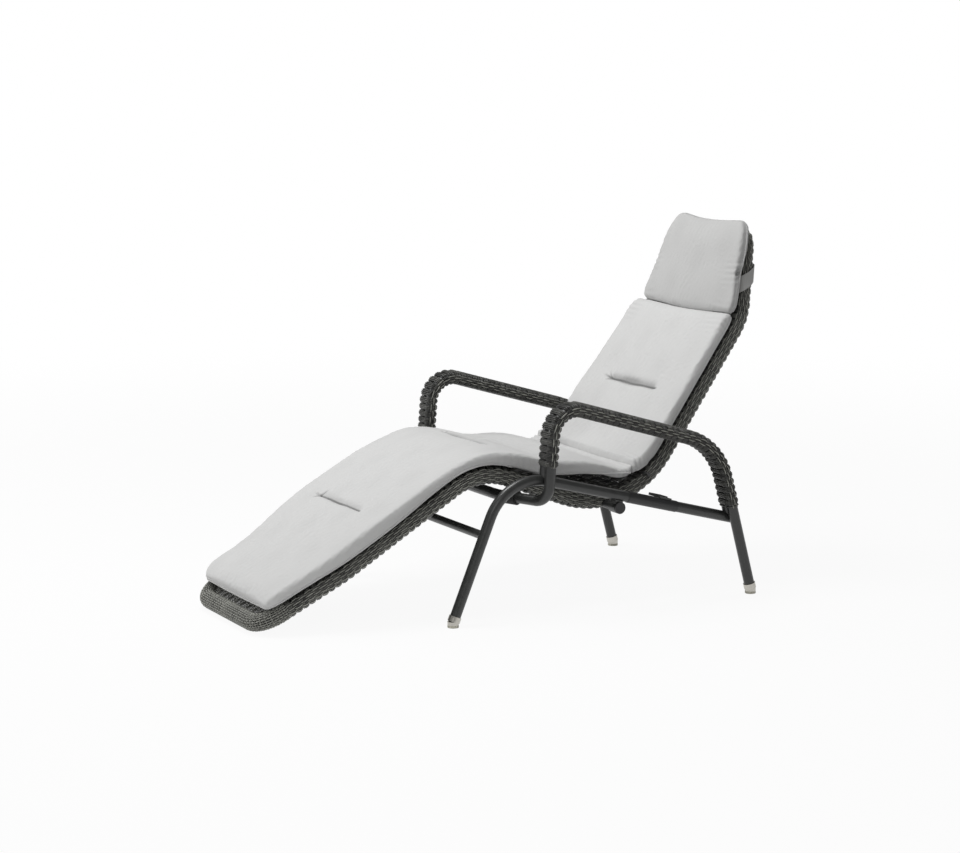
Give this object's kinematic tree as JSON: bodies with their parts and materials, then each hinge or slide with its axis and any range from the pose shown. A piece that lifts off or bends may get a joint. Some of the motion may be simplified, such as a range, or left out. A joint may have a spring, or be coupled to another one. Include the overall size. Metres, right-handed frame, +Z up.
{
  "type": "sun lounger",
  "caption": "Padded sun lounger with a tilting woven shell, woven armrest loops, a grey cushion and a head pillow on a sliding strap.",
  "frame": {"origin": "floor point under the middle of the object's length and width", "axes": "+X across to the sitter's left hand side rail, +Y from the foot end to the head end, +Z up from the floor"},
  "size_m": [0.6702, 1.363, 0.8798],
  "materials": {
    "frame_paint": "satin",
    "weave": "matte",
    "plated_cap": "satin",
    "glide": "matte",
    "nylon": "satin",
    "rubber": "matte",
    "steel_pin": "satin",
    "cushion_cloth": "matte",
    "pillow_cloth": "matte"
  },
  "bodies": {
    "frame": {"right_arm_tube": "frame_paint", "left_arm_tube": "frame_paint", "right_inner_arm_tube": "frame_paint", "left_inner_arm_tube": "frame_paint", "right_rail_tube": "frame_paint", "left_rail_tube": "frame_paint", "right_arm_weave": "weave", "left_arm_weave": "weave", "front_bar_spigot": "steel_pin", "leg_cross_tube": "frame_paint", "rail_end_plugs": "nylon", "foot_caps": "plated_cap", "foot_glides": "glide", "rail_sleeves": "nylon", "stop_shelves": "frame_paint", "stop_shelf_pads": "rubber", "pivot_hangers": "frame_paint", "pivot_barrels": "frame_paint", "pivot_bushes": "nylon", "right_rest_pad": "rubber", "left_rest_pad": "rubber"},
    "shell": {"right_rim_tube": "frame_paint", "left_rim_tube": "frame_paint", "right_rim_weave": "weave", "left_rim_weave": "weave", "rim_spigots": "steel_pin", "woven_panel": "weave", "shell_braces": "frame_paint", "pivot_brace": "frame_paint", "pivot_pins": "steel_pin", "pivot_collars": "nylon", "pivot_pin_caps": "nylon", "stop_lugs": "frame_paint", "seat_cushion": "cushion_cloth", "back_cushion": "cushion_cloth"},
    "pillow": {"head_pillow": "pillow_cloth", "pillow_strap": "pillow_cloth"}
  },
  "joints": [
    {"name": "shell_tilt", "type": "hinge", "parent": "frame", "child": "shell", "pos_m": [0, 0.19611, 0.23723], "axis": [-1, 0, 0], "range_deg": [0, 20]},
    {"name": "pillow_slide", "type": "slide", "parent": "shell", "child": "pillow", "axis": [0, 0.3103, 0.9506], "range_m": [0, 0.03]}
  ]
}
